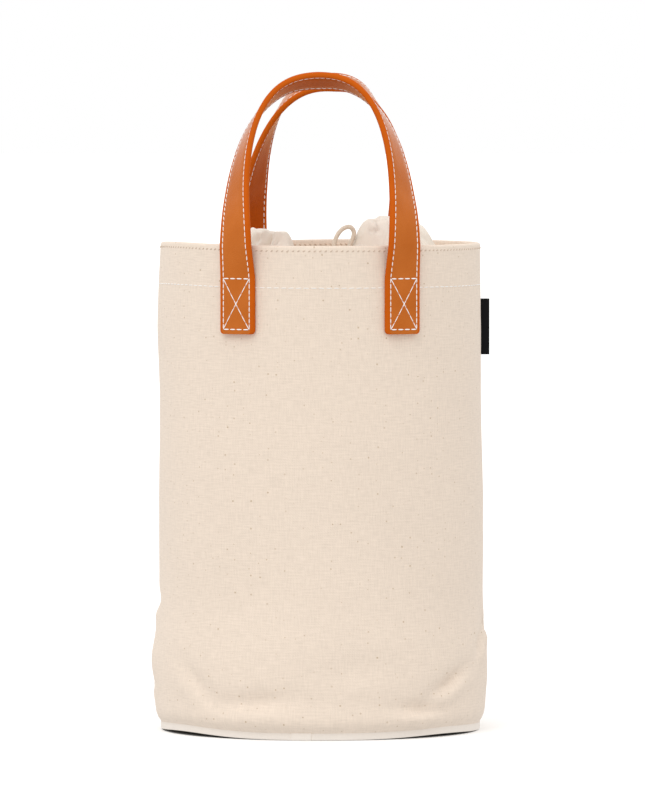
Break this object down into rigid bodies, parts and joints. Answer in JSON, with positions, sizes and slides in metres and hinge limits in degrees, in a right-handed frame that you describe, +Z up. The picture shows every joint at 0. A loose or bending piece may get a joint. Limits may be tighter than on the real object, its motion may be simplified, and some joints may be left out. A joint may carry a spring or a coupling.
{
  "type": "bottle carrier bag",
  "caption": "Round canvas bottle carrier with twin leather strap handles that swing, an inner drawstring collar, a crossed bottle divider and a bound base.",
  "frame": {"origin": "middle of the floor under the base", "axes": "+Z up, -Y the front shown in the picture, +X the side that carries the label"},
  "size_m": [0.2249, 0.2236, 0.4404],
  "materials": {
    "canvas": "natural undyed cotton canvas",
    "lining": "plain cotton",
    "collar_cotton": "light cotton",
    "leather": "tan leather with painted edges",
    "label_black": "black woven tape",
    "binding_tape": "cotton twill tape",
    "board": "stiffener sheet",
    "divider_pad": "padded cotton",
    "cord": "cotton cord"
  },
  "bodies": {
    "bag": {"front_panel": "canvas", "back_panel": "canvas", "base_panel": "canvas", "base_binding": "binding_tape", "base_board": "board", "wall_lining": "lining", "base_lining": "lining", "divider_across": "divider_pad", "divider_deep": "divider_pad", "side_label": "label_black", "collar_skirt": "collar_cotton", "collar_casing": "collar_cotton", "drawstring_in_casing": "cord", "front_handle_outer_tabs": "leather", "front_handle_outer_flex": "leather", "front_handle_backing_tabs": "leather", "front_handle_backing_flex": "leather", "rear_handle_outer_tabs": "leather", "rear_handle_outer_flex": "leather", "rear_handle_backing_tabs": "leather", "rear_handle_backing_flex": "leather"},
    "front_handle": {"front_handle_outer_arch": "leather", "front_handle_backing_arch": "leather"},
    "rear_handle": {"rear_handle_outer_arch": "leather", "rear_handle_backing_arch": "leather"},
    "drawstring": {"drawstring_loop": "cord"}
  },
  "joints": [
    {"name": "front_handle_swing", "type": "hinge", "parent": "bag", "child": "front_handle", "pos_m": [0, -0.0964, 0.326], "axis": [1, 0, 0], "range_deg": [-25, 135], "deforming": ["front_handle_outer_flex", "front_handle_backing_flex"]},
    {"name": "rear_handle_swing", "type": "hinge", "parent": "bag", "child": "rear_handle", "pos_m": [0, 0.0988, 0.326], "axis": [-1, 0, 0], "range_deg": [-25, 135], "deforming": ["rear_handle_outer_flex", "rear_handle_backing_flex"]},
    {"name": "drawstring_pull", "type": "slide", "parent": "bag", "child": "drawstring", "axis": [0, 0, 1], "range_m": [0, 0.04]}
  ]
}
